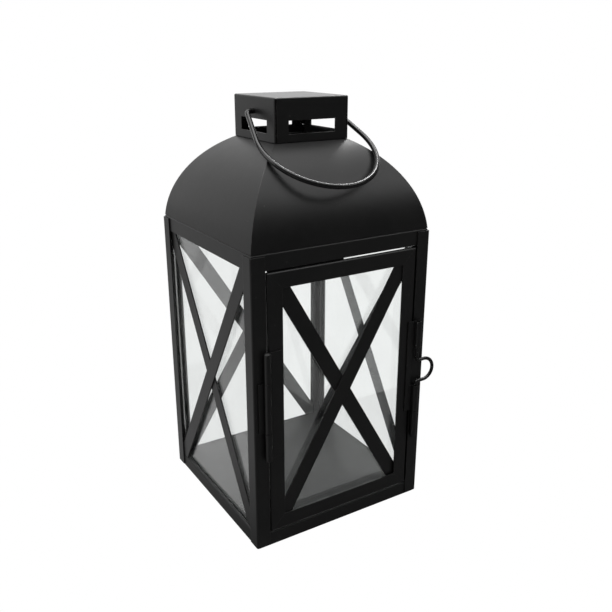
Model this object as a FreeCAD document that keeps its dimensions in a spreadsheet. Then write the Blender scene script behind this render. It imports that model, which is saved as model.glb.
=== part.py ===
import FreeCAD, Part
import math
import os

import Sketcher

# Square sheet-metal candle lantern, in millimetres, +Z up, door facing -Y.
# The origin is the middle of the footprint on the surface that it stands on.
# An upturned tray carries four angle posts; four flanged bands tie the posts at the top and
# carry a domed roof of four curved panels, mitred at the hips, under a slotted vent cap.
# Glass stands behind crossed strips on three walls, and a fourth pane sits in the hinged door.
# Moving pieces: the door on its pin hinge, the looped drop pin of the latch, the wire bail.

# Driving sizes: name, value, what it measures.
SIZES = [
    ("body_width", 140.0, "over the corner posts, both ways"),
    ("sheet", 1.0, "thickness of the body's steel sheet"),
    ("post_flange", 10.2, "width of each flange of a corner post"),
    ("post_bend", 1.3, "outer bend radius of a corner post"),
    ("post_lift", 1.0, "foot of a post above the tray's rim"),
    ("post_drop", 1.5, "top of a post below the top of the bands"),
    ("tray_height", 10.0, "rim of the base tray to its floor"),
    ("tray_bend", 1.5, "outer bend radius of the base tray"),
    ("window_height", 189.5, "floor of the tray to the foot of the bands"),
    ("band_height", 11.0, "height of a top band"),
    ("band_lip", 8.0, "width of the inward lip of a top band"),
    ("band_bend", 1.5, "outer bend radius of a top band"),
    ("strip_width", 11.0, "width of a crossed strip"),
    ("strip_sheet", 1.0, "thickness of a crossed strip"),
    ("glass_sheet", 2.0, "thickness of a pane"),
    ("glass_back_gap", 0.3, "gap between the rear strip and the pane"),
    ("side_glass_lap", 2.0, "lap of a side pane behind the post flanges"),
    ("back_glass_lap", 0.8, "lap of the back pane behind the post flanges"),
    ("glass_rise", 6.0, "height of a wall pane behind the top band"),
    ("rail_sheet", 0.8, "thickness of a glass rail and of a closing strip"),
    ("rail_hook", 1.5, "reach of a rail over the pane"),
    ("rail_foot", 2.0, "width of a rail's foot, over its leg"),
    ("rail_gap", 0.3, "clearance between a rail and the edge of the pane"),
    ("rail_seat", 0.02, "seating clearance of a rail against the pane"),
    ("rail_inset", 10.0, "ends of a rail from the foot and top of its wall or door"),
    ("door_side_gap", 1.0, "gap between the door and a post flange"),
    ("door_low_gap", 1.2, "gap below the door"),
    ("door_high_gap", 1.3, "gap above the door"),
    ("door_frame", 11.0, "face width of the door frame"),
    ("door_lip", 2.5, "depth of the door frame's turned edge"),
    ("door_bend", 1.3, "outer bend radius of the door frame"),
    ("door_glass_lap", 7.4, "lap of the door pane behind the frame"),
    ("strip_gap", 0.4, "clearance between a door strip and the turned edge of a stile"),
    ("closing_set", 0.5, "leg of the closing strip outside the edge of the post flange"),
    ("closing_foot", 4.7, "width of the closing strip's foot, over its leg"),
    ("closing_lap", 1.1, "lap of a closing strip behind the door's turned edge"),
    ("closing_gap", 0.3, "clearance between a closing strip and that edge"),
    ("closing_inset", 1.0, "ends of the closing strip from the tray and the band"),
    ("top_strip_start", 57.0, "hinge-side end of the top closing strip from the middle"),
    ("top_strip_length", 57.0, "length of the top closing strip"),
    ("top_strip_foot", 6.0, "height of the top closing strip behind the band"),
    ("roof_rise", 58.9, "eaves to the foot line of the vent cap"),
    ("roof_radius", 76.0, "radius of the roof's curve"),
    ("roof_sheet", 0.8, "thickness of the roof and cap sheet"),
    ("roof_inset", 0.2, "eaves inside the face of the bands"),
    ("neck_lip", 4.6, "upright lip of the roof inside the vent cap"),
    ("neck_gap", 0.05, "clearance between that lip and the cap"),
    ("cap_width", 57.0, "width of the vent cap"),
    ("cap_height", 28.2, "height of the vent cap"),
    ("cap_bend", 1.1, "outer bend radius of the vent cap"),
    ("cap_seam", 0.7, "open seam at the vent cap's corners"),
    ("cap_tab", 4.0, "width of the tabs behind those seams"),
    ("cap_tab_gap", 0.3, "top of a tab below the vent cap's top bend"),
    ("slot_width", 36.0, "width of a vent slot"),
    ("slot_height", 8.5, "height of a vent slot"),
    ("slot_low", 5.2, "foot of a vent slot above the cap's foot"),
    ("pivot_high", 18.4, "bail pivot above the cap's foot"),
    ("bail_wire", 3.4, "diameter of the bail's wire"),
    ("bail_fit", 0.08, "radial clearance of the bail in its holes"),
    ("bail_grip", 2.2, "reach of a bail end inside the cap"),
    ("bail_stand", 5.0, "bail leg away from the cap's side, at the pivot"),
    ("bail_elbow", 4.0, "bend radius of the bail's ends"),
    ("bow_radius", 41.8, "radius of the bail's bow"),
    ("bow_centre", 40.0, "pivot to the centre of the bow"),
    ("rest_gap", 0.3, "clearance between the resting bail and the roof"),
    ("pin_width", 2.6, "diameter of the hinge pin"),
    ("pin_fit", 0.06, "radial clearance of a pin in its barrels"),
    ("pin_head", 1.2, "height of the hinge pin's head"),
    ("barrel_width", 4.7, "outer diameter of the hinge and latch barrels"),
    ("barrel_gap", 0.4, "end gap between neighbouring barrels"),
    ("leaf_sheet", 1.0, "thickness of the hinge and latch leaves"),
    ("leaf_gap", 0.3, "clearance between a barrel and the face behind it"),
    ("leaf_margin", 3.0, "outer edge of a leaf on a post from the post's corner"),
    ("hinge_low", 69.9, "foot of the hinge"),
    ("hinge_high", 76.3, "length of the hinge"),
    ("end_barrel", 20.0, "length of the hinge's top and bottom barrels"),
    ("hinge_out", 1.2, "hinge axis outside the inner edge of the post flange"),
    ("hinge_leaf", 9.5, "width of the door's hinge leaf"),
    ("latch_out", 2.5, "latch axis outside the inner edge of the post flange"),
    ("latch_leaf", 4.4, "width of the door's latch leaf on the stile"),
    ("latch_low", 73.7, "foot of the door's latch leaf"),
    ("latch_high", 70.5, "length of the door's latch leaf"),
    ("latch_barrel", 20.3, "length of each barrel on the latch leaf"),
    ("keeper_high", 21.5, "length of the keeper's barrel on the post"),
    ("latch_wire", 2.5, "diameter of the latch pin's wire"),
    ("latch_lift", 2.0, "loop above its lower barrel, as drawn"),
    ("latch_elbow", 1.6, "bend radius of the latch pin beside its loop"),
    ("loop_arm", 6.65, "latch axis to the centre of the loop's bow"),
    ("loop_radius", 8.3, "radius of the loop's bow"),
    ("latch_top", 1.5, "end of the latch pin above its top barrel"),
    ("tip_gap", 0.3, "tip of the latch pin above the keeper, as drawn"),
]

SIDES = ("front", "right", "back", "left")
CORNERS = ("front_left", "front_right", "back_right", "back_left")
CUT_SPARE = 1.0  # how far a cutting outline runs past what it cuts


class Term:
    """A size that carries both its number and the sheet formula that gives it."""

    def __init__(self, number, formula):
        self.number = float(number)
        self.formula = formula

    def joined(self, other, sign, number):
        return Term(number, f"({self.formula} {sign} {other.formula})")

    def __add__(self, other):
        other = term(other)
        return self.joined(other, "+", self.number + other.number)

    def __sub__(self, other):
        other = term(other)
        return self.joined(other, "-", self.number - other.number)

    def __mul__(self, other):
        other = term(other)
        return self.joined(other, "*", self.number * other.number)

    def __truediv__(self, other):
        other = term(other)
        return self.joined(other, "/", self.number / other.number)

    def __neg__(self):
        return self * -1

    __radd__ = __add__
    __rmul__ = __mul__

    def __rsub__(self, other):
        return term(other) - self


def term(value):
    """A plain number, or a Term as it is, as a Term."""
    return value if isinstance(value, Term) else Term(value, f"({value})")


def root(value):
    """The square root of a Term."""
    return Term(math.sqrt(value.number), f"sqrt({value.formula})")


class Sizes:
    """The sheet's sizes as Terms, by name."""

    def __init__(self, document):
        self.sheet_object = document.addObject("Spreadsheet::Sheet", "Sizes")
        for row, (name, value, meaning) in enumerate(SIZES, start=1):
            self.sheet_object.set(f"A{row}", meaning)
            self.sheet_object.set(f"B{row}", str(value))
            self.sheet_object.setAlias(f"B{row}", name)
            setattr(self, name, Term(value, f"Sizes.{name}"))
        document.recompute()


doc = FreeCAD.newDocument("lantern")
size = Sizes(doc)

# ---------------------------------------------------------------- derived sizes

half = size.body_width / 2
inner_half = half - size.sheet
flange_edge = half - size.post_flange
post_flat = half - size.leaf_margin
window_low = size.tray_height
window_high = size.tray_height + size.window_height
band_top = window_high + size.band_height
post_height = band_top - size.post_drop - size.post_lift

glass_front = inner_half - size.strip_sheet * 2 - size.glass_back_gap
glass_back = glass_front - size.glass_sheet

door_half = flange_edge - size.door_side_gap
door_low = window_low + size.door_low_gap
door_tall = size.window_height - size.door_low_gap - size.door_high_gap
door_middle = door_low + door_tall / 2

cap_half = size.cap_width / 2
cap_inner = cap_half - size.roof_sheet
neck_half = cap_inner - size.neck_gap
eave_half = inner_half - size.roof_inset
chord_in = eave_half - cap_half
chord = root(chord_in * chord_in + size.roof_rise * size.roof_rise)
chord_off = root(size.roof_radius * size.roof_radius - chord * chord / 4)
dome_half = (eave_half + cap_half) / 2 - chord_off * size.roof_rise / chord
dome_level = band_top + size.roof_rise / 2 - chord_off * chord_in / chord


def bend_inside(bend):
    """Inner radius of a bend in the body's sheet."""
    return bend - size.sheet


def dome_height(radius, out):
    """Height of a roof curve of this radius at a distance out from the middle."""
    return dome_level + root(radius * radius - (out - dome_half) * (out - dome_half))


cap_foot = dome_height(size.roof_radius, cap_inner) + size.neck_gap
pivot_level = cap_foot + size.pivot_high

barrel_half = size.barrel_width / 2
axis_front = half + barrel_half + size.leaf_gap
hinge_axis = flange_edge + size.hinge_out
latch_axis = flange_edge + size.latch_out
keeper_top = size.latch_low - size.barrel_gap
lower_barrel_top = size.latch_low + size.latch_barrel
loop_low = lower_barrel_top + size.latch_lift + size.latch_wire / 2

# ---------------------------------------------------------------- shared makers


def new_body(label, turn=0.0, axis=(0, 0, 1)):
    """An empty body, turned about an axis through the origin."""
    body = doc.addObject("PartDesign::Body", label)
    body.Label = label
    body.AllowCompound = True
    body.Placement = FreeCAD.Placement(
        FreeCAD.Vector(0, 0, 0), FreeCAD.Rotation(FreeCAD.Vector(*axis), turn)
    )
    return body


def new_sketch(body, name, role, offset=None):
    """A sketch on one of the body's own origin planes, moved along its normal by offset."""
    sketch = body.newObject("Sketcher::SketchObject", f"{body.Label}_{name}")
    plane = next(f for f in body.Origin.OriginFeatures if f.Role == role)
    sketch.AttachmentSupport = [(plane, "")]
    sketch.MapMode = "FlatFace"
    if offset is not None:
        sketch.setExpression("AttachmentOffset.Base.z", offset.formula)
    return sketch


def bind(sketch, kind, arguments, value):
    """Add a dimension to a sketch and tie it to a sheet formula."""
    index = sketch.addConstraint(Sketcher.Constraint(kind, *arguments, value.number))
    name = f"{kind}_{index}"
    sketch.renameConstraint(index, name)
    sketch.setExpression(f"Constraints.{name}", value.formula)


def draw(sketch, corners, arcs=None, closed=True):
    """Draw lines and arcs through the corners, each held by its own coordinates.

    arcs gives, by edge number, the radius and the centre of an edge that is an arc of
    under a half circle.
    """
    arcs = arcs or {}
    corners = [(term(x), term(y)) for x, y in corners]
    first = sketch.GeometryCount
    points = [FreeCAD.Vector(x.number, y.number, 0) for x, y in corners]
    edges = len(corners) if closed else len(corners) - 1
    ends = []
    for i in range(edges):
        start = points[i]
        stop = points[(i + 1) % len(points)]
        if i not in arcs:
            sketch.addGeometry(Part.LineSegment(start, stop), False)
            ends.append((1, 2))
            continue
        radius, (centre_x, centre_y) = arcs[i]
        centre = FreeCAD.Vector(term(centre_x).number, term(centre_y).number, 0)
        angles = [math.atan2(p.y - centre.y, p.x - centre.x) for p in (start, stop)]
        forward = (angles[1] - angles[0]) % (2 * math.pi) < math.pi
        if not forward:
            angles.reverse()
        circle = Part.Circle(centre, FreeCAD.Vector(0, 0, 1), term(radius).number)
        sketch.addGeometry(Part.ArcOfCircle(circle, angles[0], angles[1]), False)
        ends.append((1, 2) if forward else (2, 1))
    for i in range(edges - 1 if not closed else edges):
        following = (i + 1) % edges
        link = (first + i, ends[i][1], first + following, ends[following][0])
        sketch.addConstraint(Sketcher.Constraint("Coincident", *link))
    for i, (x, y) in enumerate(corners):
        edge, end = (i, 0) if i < edges else (i - 1, 1)
        place = (-1, 1, first + edge, ends[edge][end])
        bind(sketch, "DistanceX", place, x)
        bind(sketch, "DistanceY", place, y)
    for i, (radius, _) in arcs.items():
        bind(sketch, "Radius", (first + i,), term(radius))


def draw_circle(sketch, x, y, radius):
    """Draw a full circle held by its centre and radius."""
    centre = FreeCAD.Vector(term(x).number, term(y).number, 0)
    normal = FreeCAD.Vector(0, 0, 1)
    index = sketch.addGeometry(Part.Circle(centre, normal, radius.number), False)
    bind(sketch, "DistanceX", (-1, 1, index, 3), term(x))
    bind(sketch, "DistanceY", (-1, 1, index, 3), term(y))
    bind(sketch, "Radius", (index,), radius)


def rectangle(x0, x1, y0, y1):
    """The corners of a rectangle."""
    return [(x0, y0), (x1, y0), (x1, y1), (x0, y1)]


def mirrored(corners):
    """The same corners on the other side of the vertical axis."""
    return [(-term(x), y) for x, y in corners]


def pad(body, sketch, length, symmetric=False):
    """Extrude a sketch along its normal, or evenly to both sides."""
    feature = body.newObject("PartDesign::Pad", f"{sketch.Name}_pad")
    feature.Profile = sketch
    feature.setExpression("Length", length.formula)
    if symmetric:
        feature.SideType = "Symmetric"
    return feature


def cut_through(body, sketch):
    """Cut a sketch through the whole body, to both sides."""
    before = settled(body).Volume
    feature = body.newObject("PartDesign::Pocket", f"{sketch.Name}_cut")
    feature.Profile = sketch
    feature.SideType = "Symmetric"
    feature.Type = "ThroughAll"
    return checked_cut(body, feature, before)


def settled(body):
    """The body's shape after a recompute."""
    doc.recompute()
    return body.Shape


def checked_cut(body, feature, before):
    """The cutting feature, once it has taken something away."""
    if not settled(body).Volume < before:
        raise RuntimeError(f"{feature.Name} cuts nothing")
    return feature


def edge_names(shape, wanted):
    """Names of the shape's edges for which wanted is true."""
    return [f"Edge{i}" for i, edge in enumerate(shape.Edges, start=1) if wanted(edge)]


def round_edges(body, name, radius, wanted):
    """Round the chosen edges of the body as it stands."""
    doc.recompute()
    base = body.Tip
    feature = body.newObject("PartDesign::Fillet", f"{body.Label}_{name}")
    feature.Base = (base, edge_names(base.Shape, wanted))
    feature.setExpression("Radius", radius.formula)
    return feature


def hollow_out(body, thickness):
    """Leave only a skin of this thickness, open at the foot."""
    before = settled(body).Volume
    base = body.Tip
    faces = enumerate(base.Shape.Faces, start=1)
    foot = next(f"Face{i}" for i, face in faces if face.BoundBox.ZMax < 1e-6)
    feature = body.newObject("PartDesign::Thickness", f"{body.Label}_skin")
    feature.Base = (base, [foot])
    feature.Reversed = True
    feature.setExpression("Value", thickness.formula)
    return checked_cut(body, feature, before)


def is_upright(edge):
    """Whether a straight edge runs along Z."""
    box = edge.BoundBox
    return box.ZLength > CUT_SPARE and box.XLength + box.YLength < 1e-6


def is_level_at(height):
    """A test for straight edges that lie at this height."""

    def wanted(edge):
        box = edge.BoundBox
        return abs(box.ZMin - height.number) < 1e-4 and box.ZLength < 1e-6

    return wanted


def lift(item, level):
    """Raise an object to a level."""
    item.setExpression("Placement.Base.z", level.formula)


# ---------------------------------------------------------------- base and frame


def make_base_tray():
    """The upturned tray: a floor with turned-down sides that it stands on."""
    body = new_body("base_tray")
    outline = new_sketch(body, "outline", "XY_Plane")
    draw(outline, rectangle(-inner_half, inner_half, -inner_half, inner_half))
    pad(body, outline, size.tray_height)
    at_top = is_level_at(size.tray_height)
    round_edges(body, "bends", size.tray_bend, lambda e: is_upright(e) or at_top(e))
    hollow_out(body, size.sheet)
    return body


def make_corner_post(index):
    """An angle post, its bend at the corner; the others are this one turned."""
    body = new_body(f"corner_post_{CORNERS[index]}", 90.0 * index)
    section = new_sketch(body, "section", "XY_Plane")
    out, bend, thick = -half, size.post_bend, size.sheet
    edge = out + size.post_flange
    centre = (out + bend, out + bend)
    corners = [
        (edge, out),
        (edge, out + thick),
        (out + bend, out + thick),
        (out + thick, out + bend),
        (out + thick, edge),
        (out, edge),
        (out, out + bend),
        (out + bend, out),
    ]
    draw(section, corners, {2: (bend - thick, centre), 6: (bend, centre)})
    pad(body, section, post_height)
    lift(body, size.post_lift)
    return body


def mitre_cut(body, reach, corner_cut):
    """Trim a front-facing piece at both ends along the diagonals of the plan."""
    outer = reach + CUT_SPARE
    clear = reach - corner_cut / 2
    corners = [
        (0, 0),
        (clear, -clear),
        (reach - corner_cut - CUT_SPARE, -outer),
        (outer, -outer),
        (outer, 0),
    ]
    if corner_cut.number == 0:
        corners = [(0, 0), (outer, -outer), (outer, 0)]
    plan = new_sketch(body, "mitres", "XY_Plane")
    draw(plan, corners)
    draw(plan, mirrored(corners))
    cut_through(body, plan)


def make_top_band(index):
    """A flanged band under the eaves, mitred to its neighbours behind the posts."""
    body = new_body(f"top_band_{SIDES[index]}", 90.0 * index)
    section = new_sketch(body, "section", "YZ_Plane")
    out, thick, bend = -inner_half, size.sheet, size.band_bend
    centre = (out + bend, band_top - bend)
    corners = [
        (out, window_high),
        (out + thick, window_high),
        (out + thick, band_top - bend),
        (out + bend, band_top - thick),
        (out + size.band_lip, band_top - thick),
        (out + size.band_lip, band_top),
        (out + bend, band_top),
        (out, band_top - bend),
    ]
    draw(section, corners, {2: (bend - thick, centre), 6: (bend, centre)})
    pad(body, section, inner_half * 2, symmetric=True)
    mitre_cut(body, inner_half, bend_inside(size.post_bend))
    return body


# ---------------------------------------------------------------- roof and vent cap


def make_roof_panel(index):
    """One curved panel of the dome with its upright lip, mitred along both hips."""
    body = new_body(f"roof_panel_{SIDES[index]}", 90.0 * index)
    section = new_sketch(body, "section", "YZ_Plane")
    outer, inner = size.roof_radius, size.roof_radius - size.roof_sheet
    neck_in = neck_half - size.roof_sheet
    lip_low = dome_height(outer, neck_half)
    lip_top = lip_low + size.neck_lip
    drop = band_top - dome_level
    foot_in = dome_half + root(inner * inner - drop * drop)
    centre = (-dome_half, dome_level)
    corners = [
        (-eave_half, band_top),
        (-foot_in, band_top),
        (-neck_in, dome_height(inner, neck_in)),
        (-neck_in, lip_top),
        (-neck_half, lip_top),
        (-neck_half, lip_low),
    ]
    draw(section, corners, {1: (inner, centre), 5: (outer, centre)})
    pad(body, section, eave_half * 2, symmetric=True)
    mitre_cut(body, eave_half, term(0))
    return body


def make_vent_cap():
    """The folded vent cap: open corner seams, a slot in each side, holes for the bail."""
    body = new_body("vent_cap")
    outline = new_sketch(body, "outline", "XY_Plane")
    draw(outline, rectangle(-cap_half, cap_half, -cap_half, cap_half))
    pad(body, outline, size.cap_height)
    at_top = is_level_at(size.cap_height)
    round_edges(body, "bends", size.cap_bend, lambda e: is_upright(e) or at_top(e))
    hollow_out(body, size.roof_sheet)
    slot_half = size.slot_width / 2
    slot = rectangle(-slot_half, slot_half, size.slot_low, size.slot_low + size.slot_height)
    seam = rectangle(
        cap_inner - size.cap_seam, cap_inner, -term(CUT_SPARE), size.cap_height - size.cap_bend
    )
    front_back = new_sketch(body, "front_back", "XZ_Plane")
    for opening in (slot, seam, mirrored(seam)):
        draw(front_back, opening)
    cut_through(body, front_back)
    left_right = new_sketch(body, "left_right", "YZ_Plane")
    draw(left_right, slot)
    draw_circle(left_right, 0, size.pivot_high, size.bail_wire / 2 + size.bail_fit)
    cut_through(body, left_right)
    lift(body, cap_foot)
    return body


def make_cap_tabs():
    """The four upright tabs inside the vent cap that lap behind its corner seams."""
    body = new_body("cap_tabs")
    plan = new_sketch(body, "plan", "XY_Plane", size.slot_low)
    start = cap_inner - size.cap_tab
    for outline in (
        rectangle(start, cap_inner, -cap_inner, size.roof_sheet - cap_inner),
        rectangle(start, cap_inner, cap_inner - size.roof_sheet, cap_inner),
    ):
        draw(plan, outline)
        draw(plan, mirrored(outline))
    pad(body, plan, size.cap_height - size.cap_bend - size.cap_tab_gap - size.slot_low)
    lift(body, cap_foot)
    return body


# ---------------------------------------------------------------- glazing


def make_pane(label, index, half_width, low, height):
    """A glass pane behind the strips of one wall."""
    body = new_body(label, 90.0 * index)
    plan = new_sketch(body, "plan", "XY_Plane", low)
    draw(plan, rectangle(-half_width, half_width, -glass_front, -glass_back))
    pad(body, plan, height)
    return body


def strip_spread(slope):
    """Half the height of a strip's section by an upright line."""
    return size.strip_width / 2 * root(term(1) + slope * slope)


def make_strip(label, index, middle, half_rise, slope, layer, lean):
    """A diagonal strip with level ends; layer 0 lies over layer 1, lean is 1 or -1."""
    body = new_body(label, 90.0 * index)
    back = inner_half - size.strip_sheet * (layer + 1)
    face = new_sketch(body, "face", "XZ_Plane", back)
    spread = strip_spread(slope)
    near = (half_rise - spread) / slope
    far = (half_rise + spread) / slope
    corners = [(near, half_rise), (-far, -half_rise), (-near, -half_rise), (far, half_rise)]
    draw(face, corners if lean > 0 else mirrored(corners))
    pad(body, face, size.strip_sheet)
    lift(body, middle)
    return body


def fold(leg_in, foot_tip, hook_tip, foot_front, hook_front):
    """The plan of a strip folded twice: a foot outside, a leg inwards, a hook to the middle."""
    thick = size.rail_sheet
    leg_out = leg_in + thick
    return [
        (leg_in, -foot_front),
        (foot_tip, -foot_front),
        (foot_tip, thick - foot_front),
        (leg_out, thick - foot_front),
        (leg_out, thick - hook_front),
        (hook_tip, thick - hook_front),
        (hook_tip, -hook_front),
        (leg_in, -hook_front),
    ]


def make_rails(label, index, pane_half, low, length):
    """Two folded rails that hold a pane, hooked over the inner face along its edges."""
    body = new_body(label, 90.0 * index)
    leg_in = pane_half + size.rail_gap
    hook_front = glass_back - size.rail_seat
    corners = fold(
        leg_in, leg_in + size.rail_foot, pane_half - size.rail_hook, inner_half, hook_front
    )
    plan = new_sketch(body, "plan", "XY_Plane", low)
    draw(plan, corners)
    draw(plan, mirrored(corners))
    pad(body, plan, length)
    return body


def make_closing_strip():
    """The folded strip behind the latch-side post that the door closes against."""
    body = new_body("closing_strip")
    leg_in = flange_edge + size.closing_set
    corners = fold(
        leg_in,
        leg_in + size.closing_foot,
        door_half - size.closing_lap,
        inner_half,
        half - size.door_lip - size.closing_gap,
    )
    plan = new_sketch(body, "plan", "XY_Plane", window_low + size.closing_inset)
    draw(plan, corners)
    pad(body, plan, size.window_height - size.closing_inset * 2)
    return body


def make_top_closing_strip():
    """The joggled strip behind the front band that the door's top closes against."""
    body = new_body("closing_strip_top")
    section = new_sketch(body, "section", "YZ_Plane", -size.top_strip_start)
    foot_front = inner_half - size.sheet
    foot_back = foot_front - size.rail_sheet
    tab_front = half - size.door_lip - size.closing_gap
    tab_back = tab_front - size.rail_sheet
    foot_low = window_high + size.closing_gap
    foot_high = foot_low + size.top_strip_foot
    step = foot_low + size.rail_sheet
    tab_low = window_high - size.door_high_gap - size.closing_lap
    corners = [
        (-foot_front, foot_low),
        (-foot_front, foot_high),
        (-foot_back, foot_high),
        (-foot_back, step),
        (-tab_back, step),
        (-tab_back, tab_low),
        (-tab_front, tab_low),
        (-tab_front, foot_low),
    ]
    draw(section, corners)
    pad(body, section, size.top_strip_length)
    return body


def make_wall_glazing(index):
    """Pane, crossed strips and rails of one fixed wall."""
    side = SIDES[index]
    lap = size.back_glass_lap if side == "back" else size.side_glass_lap
    pane_half = flange_edge + lap
    wall_rise = size.window_height / 2
    slope = wall_rise / flange_edge
    middle = window_low + wall_rise
    rail_low = window_low + size.rail_inset
    rail_length = size.window_height - size.rail_inset * 2
    over, under = f"strip_over_{side}", f"strip_under_{side}"
    return [
        make_pane(
            f"glass_{side}", index, pane_half, window_low, size.window_height + size.glass_rise
        ),
        make_strip(over, index, middle, wall_rise, slope, 0, 1),
        make_strip(under, index, middle, wall_rise, slope, 1, -1),
        make_rails(f"glass_rails_{side}", index, pane_half, rail_low, rail_length),
    ]


# ---------------------------------------------------------------- door


def make_door_member(label, turn, reach, half_length):
    """One mitred length of the door frame, its turned edge to the outside."""
    body = new_body(label, turn, (0, 1, 0))
    section = new_sketch(body, "section", "YZ_Plane")
    out, thick, bend = -half, size.sheet, size.door_bend
    centre = (out + bend, reach - bend)
    corners = [
        (out, reach - size.door_frame),
        (out + thick, reach - size.door_frame),
        (out + thick, reach - bend),
        (out + bend, reach - thick),
        (out + size.door_lip, reach - thick),
        (out + size.door_lip, reach),
        (out + bend, reach),
        (out, reach - bend),
    ]
    draw(section, corners, {2: (bend - thick, centre), 6: (bend, centre)})
    pad(body, section, half_length * 2, symmetric=True)
    beyond = size.door_frame + CUT_SPARE
    mitre = [
        (half_length + CUT_SPARE, reach + CUT_SPARE),
        (half_length - beyond, reach - beyond),
        (half_length + CUT_SPARE, reach - beyond),
    ]
    ends = new_sketch(body, "mitres", "XZ_Plane")
    draw(ends, mitre)
    draw(ends, mirrored(mitre))
    cut_through(body, ends)
    lift(body, door_middle)
    return body


def make_door():
    """The door: mitred frame, crossed strips, pane and rails."""
    tall_half = door_tall / 2
    opening_half = door_half - size.door_frame
    opening_rise = tall_half - size.door_frame
    slope = opening_rise / opening_half
    strip_rise = (door_half - size.sheet - size.strip_gap) * slope - strip_spread(slope)
    pane_half = opening_half + size.door_glass_lap
    pane_low = door_low + size.door_frame - size.door_glass_lap
    pane_rise = opening_rise * 2 + size.door_glass_lap * 2
    rail_low = door_low + size.rail_inset
    rail_length = door_tall - size.rail_inset * 2
    return [
        make_door_member("door_rail_top", 0.0, tall_half, door_half),
        make_door_member("door_stile_latch", 90.0, door_half, tall_half),
        make_door_member("door_rail_bottom", 180.0, tall_half, door_half),
        make_door_member("door_stile_hinge", 270.0, door_half, tall_half),
        make_strip("door_strip_over", 0, door_middle, strip_rise, slope, 0, 1),
        make_strip("door_strip_under", 0, door_middle, strip_rise, slope, 1, -1),
        make_pane("door_glass", 0, pane_half, pane_low, pane_rise),
        make_rails("door_glass_rails", 0, pane_half, rail_low, rail_length),
    ]


# ---------------------------------------------------------------- hinge and latch


def block(name, x, y, z):
    """A box from its low and high bounds along each axis."""
    item = doc.addObject("Part::Box", name)
    for side, grows, (low, high) in zip("xyz", ("Length", "Width", "Height"), (x, y, z)):
        item.setExpression(grows, (high - low).formula)
        item.setExpression(f"Placement.Base.{side}", low.formula)
    return item


def round_bar(name, x, radius, low, high):
    """An upright cylinder on the line of the hinge and latch barrels."""
    item = doc.addObject("Part::Cylinder", name)
    item.setExpression("Radius", radius.formula)
    item.setExpression("Height", (high - low).formula)
    item.setExpression("Placement.Base.x", x.formula)
    item.setExpression("Placement.Base.y", (-axis_front).formula)
    item.setExpression("Placement.Base.z", low.formula)
    return item


def make_leaf(label, axis, plate, tab_reach, tab_gap, barrels, bore_width):
    """A leaf: a plate, and for each barrel a tab that joins it to the plate, all bored."""
    low = min((low for low, _ in barrels), key=lambda level: level.number)
    high = max((high for _, high in barrels), key=lambda level: level.number)
    plate_back = -half
    plate_front = plate_back - size.leaf_sheet
    shapes = [block(f"{label}_plate", plate, (plate_front, plate_back), (low, high))]
    for number, (barrel_low, barrel_high) in enumerate(barrels):
        span = (barrel_low, barrel_high)
        tab_y = (plate_front - tab_gap, plate_back - tab_gap)
        shapes.append(block(f"{label}_tab_{number}", tab_reach, tab_y, span))
        shapes.append(round_bar(f"{label}_barrel_{number}", axis, barrel_half, *span))
    leaf = doc.addObject("Part::MultiFuse", f"{label}_solid")
    leaf.Shapes = shapes
    leaf.Refine = True
    bore_radius = bore_width / 2 + size.pin_fit
    bore = round_bar(f"{label}_bore", axis, bore_radius, low - CUT_SPARE, high + CUT_SPARE)
    bored = doc.addObject("Part::Cut", label)
    bored.Base = leaf
    bored.Tool = bore
    bored.Label = label
    return bored


def make_hinge():
    """The pin hinge: three barrels, the middle one on the post."""
    axis = -hinge_axis
    top = size.hinge_low + size.hinge_high
    low_joint = size.hinge_low + size.end_barrel
    high_joint = top - size.end_barrel
    clear = barrel_half + size.barrel_gap
    door_edge = -door_half + size.hinge_leaf
    plate_start = axis + clear
    door_leaf = make_leaf(
        "hinge_leaf_door",
        axis,
        (plate_start, door_edge),
        (axis, plate_start + size.leaf_sheet),
        size.leaf_gap,
        [(size.hinge_low, low_joint), (high_joint, top)],
        size.pin_width,
    )
    post_leaf = make_leaf(
        "hinge_leaf_post",
        axis,
        (-post_flat, axis - clear),
        (axis - clear - size.leaf_sheet, axis),
        term(0),
        [(low_joint + size.barrel_gap, high_joint - size.barrel_gap)],
        size.pin_width,
    )
    pin_radius = size.pin_width / 2
    head_radius = barrel_half - size.pin_fit
    low_end = size.hinge_low - size.barrel_gap
    head_low = top + size.pin_fit
    pin = new_body("hinge_pin")
    profile = new_sketch(pin, "profile", "XZ_Plane")
    corners = [
        (0, low_end),
        (pin_radius, low_end),
        (pin_radius, head_low),
        (head_radius, head_low),
        (pin_radius, head_low + size.pin_head),
        (0, head_low + size.pin_head),
    ]
    draw(profile, corners)
    turned = pin.newObject("PartDesign::Revolution", "hinge_pin_turned")
    turned.Profile = profile
    turned.ReferenceAxis = (profile, ["V_Axis"])
    turned.Angle = 360.0
    pin.setExpression("Placement.Base.x", axis.formula)
    pin.setExpression("Placement.Base.y", (-axis_front).formula)
    return [door_leaf, post_leaf, pin]


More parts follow.
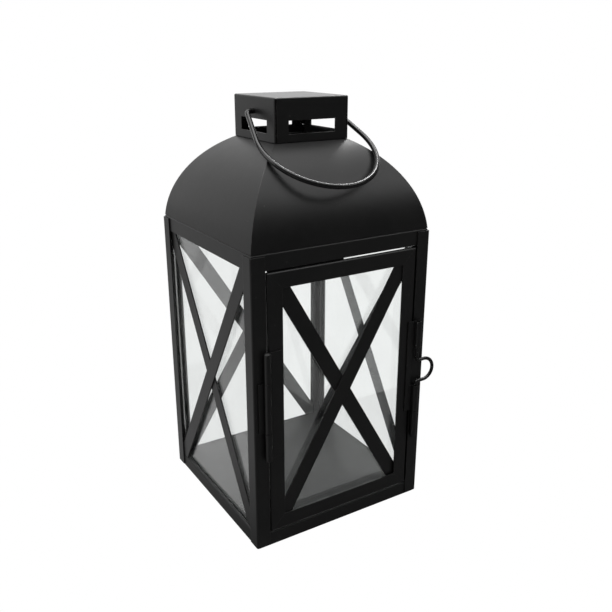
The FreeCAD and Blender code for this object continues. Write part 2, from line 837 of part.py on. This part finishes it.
def make_latch():
    """The latch: two barrels on the door, a keeper barrel on the post, a looped drop pin."""
    top = size.latch_low + size.latch_high
    door_leaf = make_leaf(
        "latch_leaf_door",
        latch_axis,
        (door_half - size.latch_leaf, door_half),
        (door_half - size.leaf_sheet, latch_axis),
        size.leaf_gap,
        [(size.latch_low, lower_barrel_top), (top - size.latch_barrel, top)],
        size.latch_wire,
    )
    keeper = make_leaf(
        "latch_keeper",
        latch_axis,
        (latch_axis, post_flat),
        (latch_axis, post_flat),
        term(0),
        [(keeper_top - size.keeper_high, keeper_top)],
        size.latch_wire,
    )
    elbow = size.latch_elbow
    bow_x = latch_axis + size.loop_arm
    middle = loop_low + size.loop_radius
    loop_high = middle + size.loop_radius
    tip = keeper_top + size.tip_gap
    pin = new_body("latch_pin")
    path = new_sketch(pin, "path", "XZ_Plane", axis_front)
    corners = [
        (latch_axis, tip),
        (latch_axis, loop_low - elbow),
        (latch_axis + elbow, loop_low),
        (bow_x, loop_low),
        (bow_x + size.loop_radius, middle),
        (bow_x, loop_high),
        (latch_axis + elbow, loop_high),
        (latch_axis, loop_high + elbow),
        (latch_axis, top + size.latch_top),
    ]
    arcs = {
        1: (elbow, (latch_axis + elbow, loop_low - elbow)),
        3: (size.loop_radius, (bow_x, middle)),
        4: (size.loop_radius, (bow_x, middle)),
        6: (elbow, (latch_axis + elbow, loop_high + elbow)),
    }
    draw(path, corners, arcs, closed=False)
    section = new_sketch(pin, "section", "XY_Plane", tip)
    draw_circle(section, latch_axis, -axis_front, size.latch_wire / 2)
    sweep(pin, section, path)
    return [door_leaf, keeper, pin]


def sweep(body, section, path):
    """Sweep a section along a path of lines and tangent arcs."""
    doc.recompute()
    feature = body.newObject("PartDesign::AdditivePipe", f"{body.Label}_wire")
    feature.Profile = section
    feature.Spine = path
    return feature


# ---------------------------------------------------------------- bail


def bail_rest_angle(reach):
    """Degrees below level at which the lowered bail would lie just clear of the roof.

    reach lists points of the wire's centre line as (across, out from the pivot). The roof's
    surface is part of a cylinder on each side, so the distance to it is taken square to the
    curve, at the point's greater distance from the middle.
    """
    wanted = size.bail_wire.number / 2 + size.rest_gap.number

    def gap(angle):
        found = []
        for across, out in reach:
            level = pivot_level.number - out * math.sin(angle)
            plan = max(abs(across), out * math.cos(angle))
            run = plan - dome_half.number
            found.append(math.hypot(run, level - dome_level.number) - size.roof_radius.number)
        return min(found) - wanted

    low, high = 0.0, math.pi / 2
    for _ in range(40):
        middle = (low + high) / 2
        low, high = (middle, high) if gap(middle) > 0 else (low, middle)
    return math.degrees(low)


def make_bail():
    """The wire bail: ends turned into the cap, straight legs, a round bow."""
    end = cap_inner - size.bail_grip
    knee = cap_half + size.bail_stand
    bow, centre = size.bow_radius, size.bow_centre
    far = root(knee * knee + centre * centre)
    leg = root(far * far - bow * bow)
    touch_x = bow * (bow * knee + leg * centre) / (far * far)
    touch_y = centre + bow * (leg * knee - bow * centre) / (far * far)
    run_x, run_y = (touch_x - knee) / leg, touch_y / leg
    elbow = size.bail_elbow
    trim = elbow * run_y / (1 + run_x)
    body = new_body("bail_handle")
    path = new_sketch(body, "path", "XY_Plane")
    corners = [
        (-end, 0),
        (-(knee - trim), 0),
        (-(knee + trim * run_x), trim * run_y),
        (-touch_x, touch_y),
        (-bow, centre),
        (0, centre + bow),
    ]
    arcs = {
        1: (elbow, (-(knee - trim), elbow)),
        3: (bow, (0, centre)),
        4: (bow, (0, centre)),
    }
    draw(path, corners, arcs, closed=False)
    section = new_sketch(body, "section", "YZ_Plane", -end)
    draw_circle(section, 0, 0, size.bail_wire / 2)
    wire = sweep(body, section, path)
    doc.recompute()
    whole = body.newObject("PartDesign::Mirrored", "bail_handle_whole")
    whole.Originals = [wire]
    plane = next(f for f in body.Origin.OriginFeatures if f.Role == "YZ_Plane")
    whole.MirrorPlane = (plane, [""])
    body.Tip = whole
    steps = [math.radians(a) for a in range(-30, 91, 2)]
    reach = [
        (bow.number * math.cos(a), centre.number + bow.number * math.sin(a)) for a in steps
    ]
    tilt = bail_rest_angle(reach)
    body.Placement = FreeCAD.Placement(
        FreeCAD.Vector(0, 0, 0), FreeCAD.Rotation(FreeCAD.Vector(1, 0, 0), 180.0 + tilt)
    )
    lift(body, pivot_level)
    print(f"bail rests {tilt:.2f} degrees below level, pivot at {pivot_level.number:.3f}")
    return body


# ---------------------------------------------------------------- the whole lantern

parts = [make_base_tray(), make_vent_cap(), make_cap_tabs(), make_bail()]
parts += [make_corner_post(i) for i in range(4)]
parts += [make_top_band(i) for i in range(4)]
parts += [make_roof_panel(i) for i in range(4)]
for wall in (1, 2, 3):
    parts += make_wall_glazing(wall)
parts += [make_closing_strip(), make_top_closing_strip()]
parts += make_door()
parts += make_hinge()
parts += make_latch()
doc.recompute()

failed = [o.Name for o in doc.Objects if {"Invalid", "Error"} & set(o.State)]
if failed:
    raise RuntimeError(f"objects that failed: {failed}")
for part in parts:
    if part.Shape.isNull() or not part.Shape.isValid() or not part.Shape.Solids:
        raise RuntimeError(f"{part.Label} has no valid solid")

os.makedirs("parts", exist_ok=True)
for part in parts:
    part.Shape.exportStep(f"parts/{part.Label}.step")
    solids = len(part.Shape.Solids)
    print(f"{part.Label}: {solids} solid(s), {part.Shape.Volume:.1f} cubic mm")
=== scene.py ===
import logging
import math
from dataclasses import dataclass
from enum import Enum
from typing import Optional, Sequence, Union

import bpy
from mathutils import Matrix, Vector

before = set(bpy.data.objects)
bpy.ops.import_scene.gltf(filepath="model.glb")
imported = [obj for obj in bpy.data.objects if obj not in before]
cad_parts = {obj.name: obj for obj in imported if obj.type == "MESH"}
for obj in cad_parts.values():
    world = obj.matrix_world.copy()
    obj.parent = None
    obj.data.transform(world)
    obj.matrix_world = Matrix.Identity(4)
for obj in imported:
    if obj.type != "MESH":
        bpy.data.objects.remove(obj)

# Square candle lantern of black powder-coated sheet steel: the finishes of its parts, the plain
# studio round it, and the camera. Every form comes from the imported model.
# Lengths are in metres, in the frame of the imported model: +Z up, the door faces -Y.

LOG = logging.getLogger("lantern")
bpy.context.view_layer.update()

Number = Union[int, float]
Colour = tuple[float, float, float, float]


def grey(level: float, warmth: float = 0.0) -> Colour:
    """A grey of this linear level, a little warmer or cooler than neutral.

    Args:
        level: Linear brightness from 0 to 1.
        warmth: Share by which red is raised and blue is lowered.

    Returns:
        A colour with full alpha.
    """
    return (level * (1 + warmth), level, level * (1 - warmth), 1.0)


WHITE, BLACK = grey(1.0), grey(0.0)

# Numbers of the Mix node's colour inputs and colour output.
MIX_FIRST, MIX_SECOND, MIX_COLOUR = 6, 7, 2


# ------------------------------------------------------------------ shader graphs


class Wire:
    """A shader socket whose operators add Math nodes to its graph."""

    def __init__(self, graph: "Graph", socket: bpy.types.NodeSocket) -> None:
        """Wrap a socket of a graph.

        Args:
            graph: The graph that the socket belongs to.
            socket: The output socket.
        """
        self.graph = graph
        self.socket = socket

    def _join(self, operation: str, *values: Union["Wire", Number]) -> "Wire":
        """Add one Math node.

        Args:
            operation: The Math node's operation.
            values: Its inputs, in order.

        Returns:
            The node's result.
        """
        inputs = dict(enumerate(values))
        return self.graph.node("ShaderNodeMath", {"operation": operation}, inputs)

    def __add__(self, other: Union["Wire", Number]) -> "Wire":
        """Sum."""
        return self._join("ADD", self, other)

    def __sub__(self, other: Union["Wire", Number]) -> "Wire":
        """Difference."""
        return self._join("SUBTRACT", self, other)

    def __rsub__(self, other: Number) -> "Wire":
        """Difference from a number."""
        return self._join("SUBTRACT", other, self)

    def __mul__(self, other: Union["Wire", Number]) -> "Wire":
        """Product."""
        return self._join("MULTIPLY", self, other)

    __radd__ = __add__
    __rmul__ = __mul__

    def clamped(self) -> "Wire":
        """The value held between 0 and 1."""
        return self._join("MINIMUM", self._join("MAXIMUM", self, 0.0), 1.0)

    def ramp(self, low: float, high: float, start: float = 0.0, end: float = 1.0) -> "Wire":
        """A smooth step from one value to another.

        Args:
            low: Value at which the step starts.
            high: Value at which the step ends.
            start: Result at and below low.
            end: Result at and above high.

        Returns:
            The stepped value.
        """
        settings = {"interpolation_type": "SMOOTHSTEP"}
        inputs = {
            "Value": self,
            "From Min": low,
            "From Max": high,
            "To Min": start,
            "To Max": end,
        }
        return self.graph.node("ShaderNodeMapRange", settings, inputs)


class Graph:
    """The node tree of a material or a world, built from typed nodes."""

    def __init__(self, tree: bpy.types.NodeTree) -> None:
        """Clear a tree and keep it.

        Args:
            tree: The node tree to build in.
        """
        self.tree = tree
        tree.nodes.clear()

    def node(
        self,
        kind: str,
        settings: Optional[dict] = None,
        inputs: Optional[dict] = None,
        output: Union[int, str] = 0,
    ) -> Wire:
        """Add any node.

        Args:
            kind: The node's type.
            settings: Properties that are set first.
            inputs: Values or links by socket name or number.
            output: Name or number of the output to return.

        Returns:
            The chosen output, or the node's first input on an output node.
        """
        made = self.tree.nodes.new(kind)
        for name, value in (settings or {}).items():
            setattr(made, name, value)
        for name, value in (inputs or {}).items():
            if isinstance(value, Wire):
                self.tree.links.new(value.socket, made.inputs[name])
            else:
                made.inputs[name].default_value = value
        sockets = made.outputs if len(made.outputs) else made.inputs
        return Wire(self, sockets[output])

    def blend(
        self, factor: Union[Wire, Number], first: Union[Wire, Colour], second: Union[Wire, Colour]
    ) -> Wire:
        """Mix two colours.

        Args:
            factor: Share of the second colour.
            first: Colour or link.
            second: Colour or link.

        Returns:
            The mixed colour.
        """
        inputs = {0: factor, MIX_FIRST: first, MIX_SECOND: second}
        return self.node("ShaderNodeMix", {"data_type": "RGBA"}, inputs, MIX_COLOUR)

    def mix(self, factor: Wire, first: Wire, second: Wire) -> Wire:
        """Mix two shaders by the share of the second."""
        return self.node("ShaderNodeMixShader", {}, {0: factor, 1: first, 2: second})

    def dot(self, vector: Wire, other: Union[Wire, Sequence[float]]) -> Wire:
        """How far two vectors point the same way."""
        settings = {"operation": "DOT_PRODUCT"}
        return self.node("ShaderNodeVectorMath", settings, {0: vector, 1: other}, "Value")

    def place(self) -> Wire:
        """Position on the piece, in its own frame."""
        return self.node("ShaderNodeTexCoord", output="Object")

    def noise(self, vector: Wire, size: float, detail: float = 2.0, rough: float = 0.5) -> Wire:
        """Smooth noise from 0 to 1.

        Args:
            vector: Position.
            size: Width of its largest features, in metres.
            detail: Octaves.
            rough: Weight of the finer octaves.

        Returns:
            The noise value.
        """
        inputs = {"Vector": vector, "Scale": 1 / size, "Detail": detail, "Roughness": rough}
        return self.node("ShaderNodeTexNoise", {"noise_dimensions": "3D"}, inputs)

    def cells(self, vector: Wire, size: float) -> Wire:
        """Distance to the nearest of scattered points, in cells.

        Args:
            vector: Position.
            size: Width of a cell, in metres.

        Returns:
            The distance.
        """
        inputs = {"Vector": vector, "Scale": 1 / size, "Randomness": 1.0}
        return self.node("ShaderNodeTexVoronoi", {"feature": "F1"}, inputs)

    def edges(self, radius: float) -> tuple[Wire, Wire]:
        """Rounded normals, and a mask of the edges that they round.

        Args:
            radius: Radius of the rounding, in metres.

        Returns:
            The normal, and the mask from 0 on a face to 1 on an edge.
        """
        rounded = self.node("ShaderNodeBevel", {"samples": 6}, {"Radius": radius})
        flat = self.node("ShaderNodeNewGeometry", output="Normal")
        return rounded, self.dot(rounded, flat).ramp(0.995, 0.86)

    def ray(self, kind: str) -> Wire:
        """1 for rays of a kind, such as "Is Camera Ray", and 0 for others."""
        return self.node("ShaderNodeLightPath", output=kind)

    def looks(self) -> tuple[Wire, Wire]:
        """Masks of the rays that look straight at a surface, and of those that mirror it.

        Returns:
            1 for camera and transmitted rays, and 1 for glossy rays that are neither.
        """
        seen = (self.ray("Is Camera Ray") + self.ray("Is Transmission Ray")).clamped()
        return seen, self.ray("Is Glossy Ray") * (1 - seen)

    def finish(self, shader: Wire) -> None:
        """Connect the surface.

        Args:
            shader: The shader to show.
        """
        self.node("ShaderNodeOutputMaterial", {}, {"Surface": shader})


def new_material(name: str) -> tuple[bpy.types.Material, Graph]:
    """A material and its empty graph.

    Args:
        name: The material's name.

    Returns:
        The material and its graph.
    """
    material = bpy.data.materials.new(name)
    material.use_nodes = True
    return material, Graph(material.node_tree)


# ------------------------------------------------------------------ finishes


class Sheen(Enum):
    """How shiny a coat of paint is: its roughness."""

    SEMI_GLOSS = 0.26
    SATIN = 0.38
    DULL = 0.52


@dataclass(frozen=True)
class PowderCoat:
    """Black powder coat on steel: fine orange peel, uneven sheen, dust, edges of wear and painted
    highlight.
    """

    name: str
    black: float = 0.0048
    sheen: Sheen = Sheen.SATIN
    cloud_size: float = 0.055
    mottle_size: float = 0.006
    edge_radius: float = 0.00035
    # Edge lightening: partly worn paint, partly a painted highlight along the bent edges.
    edge_wear_and_highlight: float = 0.5
    wear_and_highlight_size: float = 0.004
    worn_and_highlight_tone: Colour = grey(0.1, 0.02)
    peel_size: float = 0.0011
    grit_size: float = 0.00032
    peel_depth: float = 0.00002
    dust: float = 0.35
    dust_spacing: float = 0.0095
    dust_tone: Colour = grey(0.11, 0.04)

    def make(self) -> bpy.types.Material:
        """Build the material.

        Returns:
            The finished material.
        """
        material, g = new_material(self.name)
        place = g.place()
        clouds = g.noise(place, self.cloud_size, 3.0)
        mottle = g.noise(place, self.mottle_size, 3.0, 0.6)
        normal, edge = g.edges(self.edge_radius)
        # Edge mask broken up by noise: worn paint and a painted highlight along the bends.
        wear_and_highlight_breakup = g.noise(place, self.wear_and_highlight_size, 4.0, 0.65).ramp(0.42, 0.66)
        worn_and_highlit = edge * wear_and_highlight_breakup * self.edge_wear_and_highlight
        specks = g.cells(place, self.dust_spacing).ramp(0.055, 0.02) * self.dust
        inputs = {
            "Base Color": self.tone(g, clouds, mottle, worn_and_highlit, specks),
            "Roughness": self.roughness(clouds, mottle, worn_and_highlit, specks),
            "Normal": self.relief(g, place, normal),
            "IOR": 1.5,
        }
        g.finish(g.node("ShaderNodeBsdfPrincipled", {}, inputs))
        return material

    def tone(self, g: Graph, clouds: Wire, mottle: Wire, worn_and_highlit: Wire, specks: Wire) -> Wire:
        """Colour of the coat: cloudy black, mottled, lighter under dust and at edges, from wear
        and painted highlight.

        Args:
            g: The material's graph.
            clouds: Broad noise.
            mottle: Fine noise.
            worn_and_highlit: Mask of the edges lightened by wear and by painted highlight.
            specks: Mask of the dust specks.

        Returns:
            The colour.
        """
        dark, light = grey(self.black * 0.86, -0.02), grey(self.black * 1.16, 0.02)
        tone = g.blend(clouds.ramp(0.3, 0.7), dark, light)
        tone = g.blend(mottle.ramp(0.35, 0.75) * 0.35, tone, grey(self.black * 1.5))
        # Lighten the edges: partly worn paint, partly painted highlight.
        tone = g.blend(worn_and_highlit, tone, self.worn_and_highlight_tone)
        return g.blend(specks, tone, self.dust_tone)

    def roughness(self, clouds: Wire, mottle: Wire, worn_and_highlit: Wire, specks: Wire) -> Wire:
        """Roughness round that of the sheen: smoother at the masked edges, duller under dust.

        Args:
            clouds: Broad noise.
            mottle: Fine noise.
            worn_and_highlit: Mask of the edges lightened by wear and by painted highlight.
            specks: Mask of the dust specks.

        Returns:
            The roughness.
        """
        uneven = (clouds - 0.5) * 0.10 + (mottle - 0.5) * 0.08
        return (self.sheen.value + uneven - worn_and_highlit * 0.12 + specks * 0.2).clamped()

    def relief(self, g: Graph, place: Wire, normal: Wire) -> Wire:
        """Orange peel and grit over the rounded edges.

        Args:
            g: The material's graph.
            place: Position on the piece.
            normal: The rounded normal.

        Returns:
            The bumped normal.
        """
        peel = g.noise(place, self.peel_size, 2.0, 0.45)
        grit = g.noise(place, self.grit_size, 1.0)
        height = 0.8 * peel + 0.2 * grit
        inputs = {
            "Strength": 0.55,
            "Distance": self.peel_depth,
            "Height": height,
            "Normal": normal,
        }
        return g.node("ShaderNodeBump", {}, inputs)


@dataclass(frozen=True)
class ClearGlass:
    """Clear float glass with a faint film of dust."""

    name: str
    tint: Colour = (0.945, 0.957, 0.952, 1.0)
    lamp_tint: Colour = (0.93, 0.945, 0.94, 1.0)
    film_cover: float = 0.02
    film_size: float = 0.03
    mote_cover: float = 0.25
    mote_spacing: float = 0.011
    dust_tone: Colour = grey(0.75)

    def make(self) -> bpy.types.Material:
        """Build the material.

        Returns:
            The finished material.
        """
        material, g = new_material(self.name)
        place = g.place()
        inputs = {
            "Base Color": self.tint,
            "Roughness": 0.0,
            "IOR": 1.5,
            "Transmission Weight": 1.0,
        }
        pane = g.node("ShaderNodeBsdfPrincipled", {}, inputs)
        dust = g.node("ShaderNodeBsdfDiffuse", {}, {"Color": self.dust_tone})
        film = g.noise(place, self.film_size, 4.0, 0.6).ramp(0.35, 0.75)
        motes = g.cells(place, self.mote_spacing).ramp(0.03, 0.012)
        cover = (film * self.film_cover + motes * self.mote_cover).clamped()
        clear = g.node("ShaderNodeBsdfTransparent", {}, {"Color": self.lamp_tint})
        g.finish(g.mix(g.ray("Is Shadow Ray"), g.mix(cover, pane, dust), clear))
        return material


@dataclass(frozen=True)
class Finishes:
    """Every finish of the lantern, made once and shared."""

    sheet: PowderCoat = PowderCoat("powder_coat_sheet")
    tray: PowderCoat = PowderCoat("powder_coat_tray", sheen=Sheen.DULL)
    roof: PowderCoat = PowderCoat("powder_coat_roof", peel_size=0.0014)
    hardware: PowderCoat = PowderCoat(
        "powder_coat_hardware", edge_radius=0.0002, edge_wear_and_highlight=0.45
    )
    wire: PowderCoat = PowderCoat(
        "powder_coat_wire",
        black=0.0035,
        sheen=Sheen.SEMI_GLOSS,
        edge_radius=0.0002,
        edge_wear_and_highlight=0.1,
    )
    glass: ClearGlass = ClearGlass("clear_glass")


# ------------------------------------------------------------------ sub-assemblies


def dress(nodes: Sequence[str], material: bpy.types.Material) -> None:
    """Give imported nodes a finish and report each.

    Args:
        nodes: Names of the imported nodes.
        material: The finish.
    """
    for name in nodes:
        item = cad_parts[name]
        item.data.materials.clear()
        item.data.materials.append(material)
        LOG.info("%s: %s", name, material.name)


@dataclass
class Frame:
    """Tray, corner posts, top bands and the crossed strips of the fixed walls."""

    coat: bpy.types.Material
    tray_coat: bpy.types.Material
    corners: Sequence[str] = ("front_left", "front_right", "back_left", "back_right")
    sides: Sequence[str] = ("front", "right", "back", "left")
    glazed: Sequence[str] = ("right", "back", "left")

    def dress(self) -> None:
        """Give the sheet-metal parts their coat."""
        dress(["base_tray"], self.tray_coat)
        nodes = ["closing_strip", "closing_strip_top"]
        nodes += [f"corner_post_{corner}" for corner in self.corners]
        nodes += [f"top_band_{side}" for side in self.sides]
        for side in self.glazed:
            nodes += [f"strip_over_{side}", f"strip_under_{side}", f"glass_rails_{side}"]
        dress(nodes, self.coat)


@dataclass
class Roof:
    """Four curved panels and the folded vent cap."""

    coat: bpy.types.Material
    sides: Sequence[str] = ("front", "right", "back", "left")

    def dress(self) -> None:
        """Give the roof its coat."""
        panels = [f"roof_panel_{side}" for side in self.sides]
        dress(panels + ["vent_cap", "cap_tabs"], self.coat)


@dataclass
class Glazing:
    """The panes of the fixed walls."""

    glass: bpy.types.Material
    sides: Sequence[str] = ("right", "back", "left")

    def dress(self) -> None:
        """Give the panes their glass."""
        dress([f"glass_{side}" for side in self.sides], self.glass)


@dataclass
class Door:
    """The framed door with its pane, strips and rails."""

    coat: bpy.types.Material
    glass: bpy.types.Material
    members: Sequence[str] = (
        "door_rail_top",
        "door_rail_bottom",
        "door_stile_hinge",
        "door_stile_latch",
        "door_strip_over",
        "door_strip_under",
        "door_glass_rails",
    )

    def dress(self) -> None:
        """Give the door its coat and its glass."""
        dress(self.members, self.coat)
        dress(["door_glass"], self.glass)


@dataclass
class Hardware:
    """Hinge, latch, keeper and the looped pin."""

    coat: bpy.types.Material
    wire: bpy.types.Material
    leaves: Sequence[str] = (
        "hinge_leaf_door",
        "hinge_leaf_post",
        "hinge_pin",
        "latch_leaf_door",
        "latch_keeper",
    )

    def dress(self) -> None:
        """Give the small hardware its coat."""
        dress(self.leaves, self.coat)
        dress(["latch_pin"], self.wire)


@dataclass
class Bail:
    """The wire handle."""

    wire: bpy.types.Material

    def dress(self) -> None:
        """Give the bail its coat."""
        dress(["bail_handle"], self.wire)


# ------------------------------------------------------------------ studio


@dataclass(frozen=True)
class SoftBox:
    """A square lamp: where it stands, the width of its face and its power in watts."""

    name: str
    place: Sequence[float]
    width: float
    watts: float

    def build(self, aim: Vector) -> None:
        """Make the lamp.

        Args:
            aim: The point that it faces.
        """
        data = bpy.data.lights.new(self.name, "AREA")
        data.shape = "SQUARE"
        data.size = self.width
        data.energy = self.watts
        lamp = bpy.data.objects.new(self.name, data)
        lamp.location = self.place
        away = Vector(self.place) - aim
        lamp.rotation_euler = away.to_track_quat("Z", "Y").to_euler()
        bpy.context.scene.collection.objects.link(lamp)


@dataclass
class Studio:
    """A white floor and backdrop and four lamps.

    Glossy rays see them as a dim room that is brighter behind the object and overhead. Each pair
    of glows is the dim one, then the bright one.
    """

    room_bright_side: Sequence[float] = (0.35, 0.93, 0.0)
    room_glows: Sequence[float] = (0.04, 1.75)
    overhead_glow: float = 1.7
    ambient: float = 0.5
    floor_size: float = 8.0
    floor_level: float = -0.0002
    floor_tone: Colour = grey(0.8)
    floor_bright_side: Sequence[float] = (-0.62, 0.78, 0.0)
    floor_glows: Sequence[float] = (0.1, 0.45)
    middle: Sequence[float] = (0.0, 0.0, 0.15)
    lamps: Sequence[SoftBox] = (
        SoftBox("left_box", (-1.5, 0.35, 0.9), 1.1, 8.0),
        SoftBox("top_box", (-0.2, 0.1, 1.9), 1.2, 14.0),
        SoftBox("back_spot", (0.75, 0.55, 1.35), 0.28, 7.0),
        SoftBox("right_fill", (1.3, -1.1, 1.5), 0.8, 4.0),
    )

    def world(self) -> None:
        """White to the camera, a room to glossy rays, and even light for the rest."""
        world = bpy.data.worlds.new("studio_world")
        bpy.context.scene.world = world
        world.use_nodes = True
        g = Graph(world.node_tree)
        direction = g.node("ShaderNodeTexCoord", output="Generated")
        height = g.node("ShaderNodeSeparateXYZ", {}, {0: direction}, "Z")
        side_glow = g.dot(direction, self.room_bright_side).ramp(0.35, 1.15, *self.room_glows)
        glow = side_glow + height.ramp(0.6, 0.88, 0.0, self.overhead_glow)
        seen, mirrored = g.looks()
        strength = seen + mirrored * glow + (1 - seen - mirrored) * self.ambient
        inputs = {"Color": WHITE, "Strength": strength}
        background = g.node("ShaderNodeBackground", {}, inputs)
        g.node("ShaderNodeOutputWorld", {}, {"Surface": background})

    def floor(self) -> None:
        """A wide floor: white to the camera, part of the room to glossy rays, else pale paper."""
        half = self.floor_size / 2
        corners = [(-half, -half), (half, -half), (half, half), (-half, half)]
        mesh = bpy.data.meshes.new("studio_floor")
        mesh.from_pydata([(x, y, self.floor_level) for x, y in corners], [], [(0, 1, 2, 3)])
        floor = bpy.data.objects.new("studio_floor", mesh)
        bpy.context.scene.collection.objects.link(floor)
        material, g = new_material("studio_floor")
        glow = g.dot(g.place(), self.floor_bright_side).ramp(-0.05, 0.14, *self.floor_glows)
        paper = g.node("ShaderNodeBsdfDiffuse", {}, {"Color": self.floor_tone})
        white = g.node("ShaderNodeEmission", {}, {"Color": WHITE, "Strength": 1.0})
        shade = g.blend(glow, BLACK, WHITE)
        mirror = g.node("ShaderNodeEmission", {}, {"Color": shade, "Strength": 1.0})
        seen, mirrored = g.looks()
        g.finish(g.mix(mirrored, g.mix(seen, paper, white), mirror))
        mesh.materials.append(material)

    def build(self) -> None:
        """Make the whole studio."""
        self.world()
        self.floor()
        for lamp in self.lamps:
            lamp.build(Vector(self.middle))
        bpy.context.scene.view_settings.view_transform = "Standard"


@dataclass
class ViewPoint:
    """The photograph's camera: angles in degrees, lens and sensor in millimetres."""

    place: Sequence[float] = (-0.2611, -0.4417, 0.3274)
    azimuth: float = 31.788
    elevation: float = 19.535
    lens: float = 42.71
    sensor: float = 36.0
    nearest: float = 0.01
    farthest: float = 50.0

    def build(self) -> None:
        """Make the camera and look through it."""
        data = bpy.data.cameras.new("photo_camera")
        data.lens = self.lens
        data.sensor_width = self.sensor
        data.clip_start = self.nearest
        data.clip_end = self.farthest
        camera = bpy.data.objects.new("photo_camera", data)
        turn, dip = math.radians(self.azimuth), math.radians(self.elevation)
        level = math.cos(dip)
        look = Vector((math.sin(turn) * level, math.cos(turn) * level, -math.sin(dip)))
        camera.location = self.place
        camera.rotation_euler = look.to_track_quat("-Z", "Y").to_euler()
        bpy.context.scene.collection.objects.link(camera)
        bpy.context.scene.camera = camera


def main() -> None:
    """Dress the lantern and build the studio."""
    logging.basicConfig(level=logging.INFO, format="%(name)s %(message)s")
    ViewPoint().build()
    Studio().build()
    finishes = Finishes()
    sheet, roof, tray = finishes.sheet.make(), finishes.roof.make(), finishes.tray.make()
    hardware, wire = finishes.hardware.make(), finishes.wire.make()
    glass = finishes.glass.make()
    Frame(sheet, tray).dress()
    Roof(roof).dress()
    Glazing(glass).dress()
    Door(sheet, glass).dress()
    Hardware(hardware, wire).dress()
    Bail(wire).dress()


if __name__ == "__main__":
    main()
